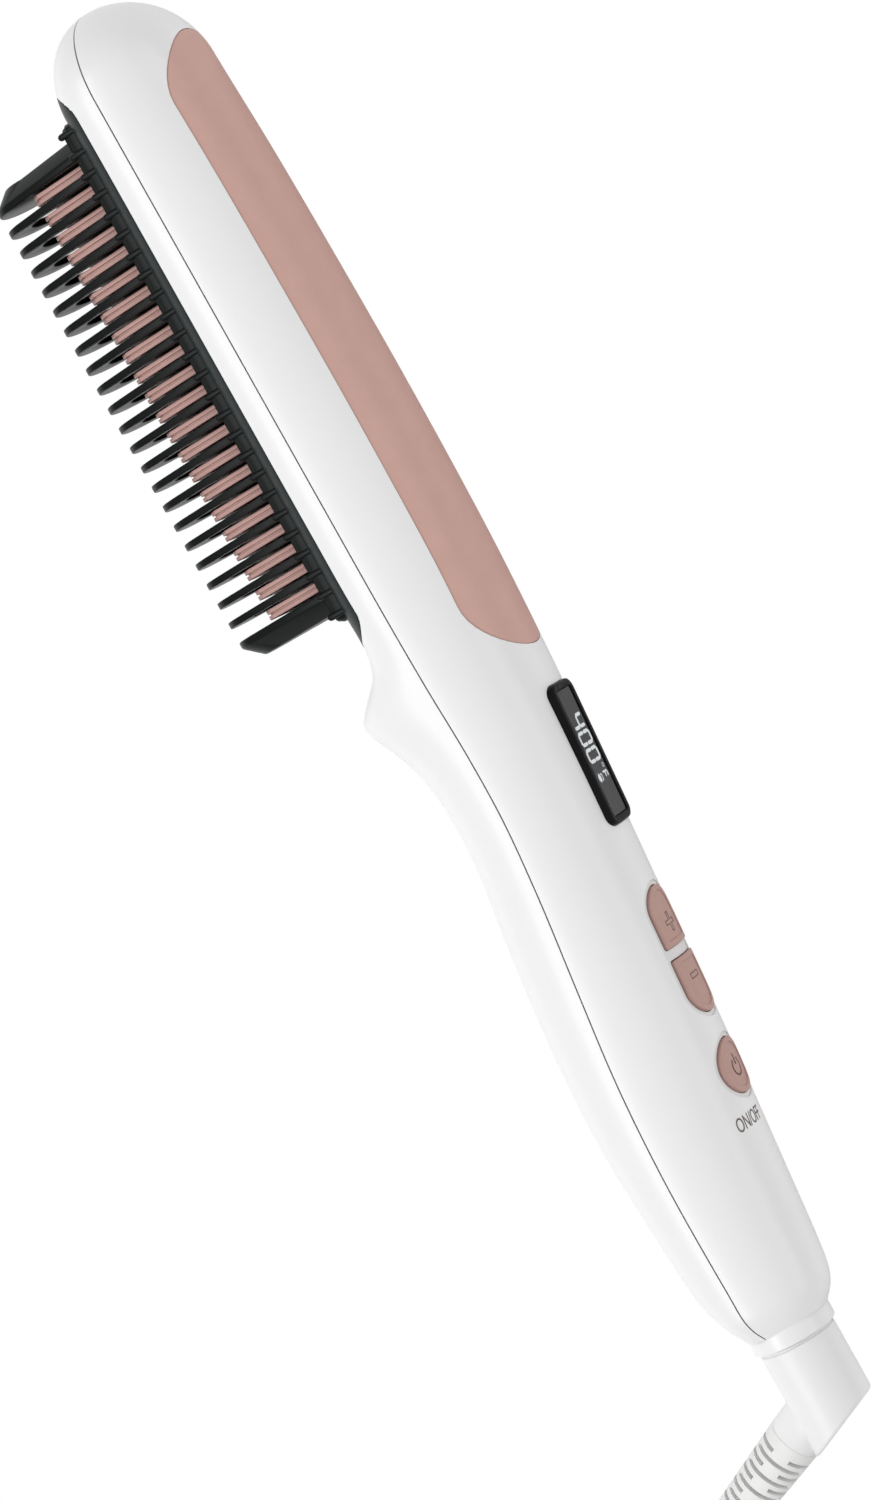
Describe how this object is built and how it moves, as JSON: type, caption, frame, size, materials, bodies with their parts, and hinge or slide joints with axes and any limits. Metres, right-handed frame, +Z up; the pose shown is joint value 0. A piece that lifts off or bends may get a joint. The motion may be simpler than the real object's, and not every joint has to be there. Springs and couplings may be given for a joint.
{
  "type": "hair straightening brush",
  "caption": "Heated hair straightening brush with arched comb blades, digital display, push buttons and a swivelling mains cord with plug.",
  "frame": {"origin": "on the floor below the middle of the brush's own box, the brush lying on its side", "axes": "+X from the nose of the head to the cord end, +Y towards the back of the head (away from the comb), +Z up"},
  "size_m": [0.4206, 0.107, 0.0352],
  "materials": {
    "white_shell": "satin gloss white",
    "rose_panel": "satin metallic rose gold",
    "white_elbow": "satin white",
    "black_bezel": "gloss black",
    "rose_button": "metallic rose",
    "rose_fins": "anodised rose",
    "black_comb": "heat resistant, satin black",
    "dark_window": "smoked gloss",
    "black_plastic": "moulded",
    "board_green": "solder mask",
    "ceramic": "fired ceramic",
    "mica": "pressed mica",
    "screw_steel": "zinc plated",
    "contact_brass": "bare",
    "plug_brass": "nickel plated",
    "cord_rubber": "soft white PVC"
  },
  "bodies": {
    "brush": {"upper_shell": "white_shell", "lower_shell": "white_shell", "top_panel": "rose_panel", "display_bezel": "black_bezel", "display_lens": "dark_window", "display_module": "black_plastic", "control_board": "board_green", "board_parts": "black_plastic", "tact_switches": "black_plastic", "board_screws": "screw_steel", "comb_skirt": "black_comb", "comb_frame": "black_comb", "heater_comb": "rose_fins", "ceramic_heater": "ceramic", "heater_insulator": "mica", "heater_clamp": "screw_steel", "comb_screws": "screw_steel", "thermal_fuse": "ceramic", "thermistor": "black_plastic", "shell_screws": "screw_steel", "contact_springs": "contact_brass"},
    "plus": {"plus_button": "rose_button"},
    "minus": {"minus_button": "rose_button"},
    "power": {"power_button": "rose_button"},
    "cord_end": {"swivel_elbow": "white_elbow", "swivel_washer": "white_elbow", "swivel_retainer": "screw_steel", "slip_rings": "contact_brass", "strain_relief": "cord_rubber", "power_cord": "cord_rubber", "cord_coil": "cord_rubber", "cord_tail": "cord_rubber", "plug_body": "cord_rubber", "plug_pins": "plug_brass"}
  },
  "joints": [
    {"name": "plus_press", "type": "slide", "parent": "brush", "child": "plus", "axis": [-0.0785, -0.9969, 0], "range_m": [0, 0.0006], "stiffness_N_per_m": 900, "springref_m": -0.0003},
    {"name": "minus_press", "type": "slide", "parent": "brush", "child": "minus", "axis": [-0.0785, -0.9969, 0], "range_m": [0, 0.0006], "stiffness_N_per_m": 900, "springref_m": -0.0003},
    {"name": "power_press", "type": "slide", "parent": "brush", "child": "power", "axis": [-0.0785, -0.9969, 0], "range_m": [0, 0.0006], "stiffness_N_per_m": 900, "springref_m": -0.0003},
    {"name": "cord_swivel", "type": "hinge", "parent": "brush", "child": "cord_end", "pos_m": [0.13, 0.0027, 0.0176], "axis": [1, 0, 0], "continuous": true}
  ]
}
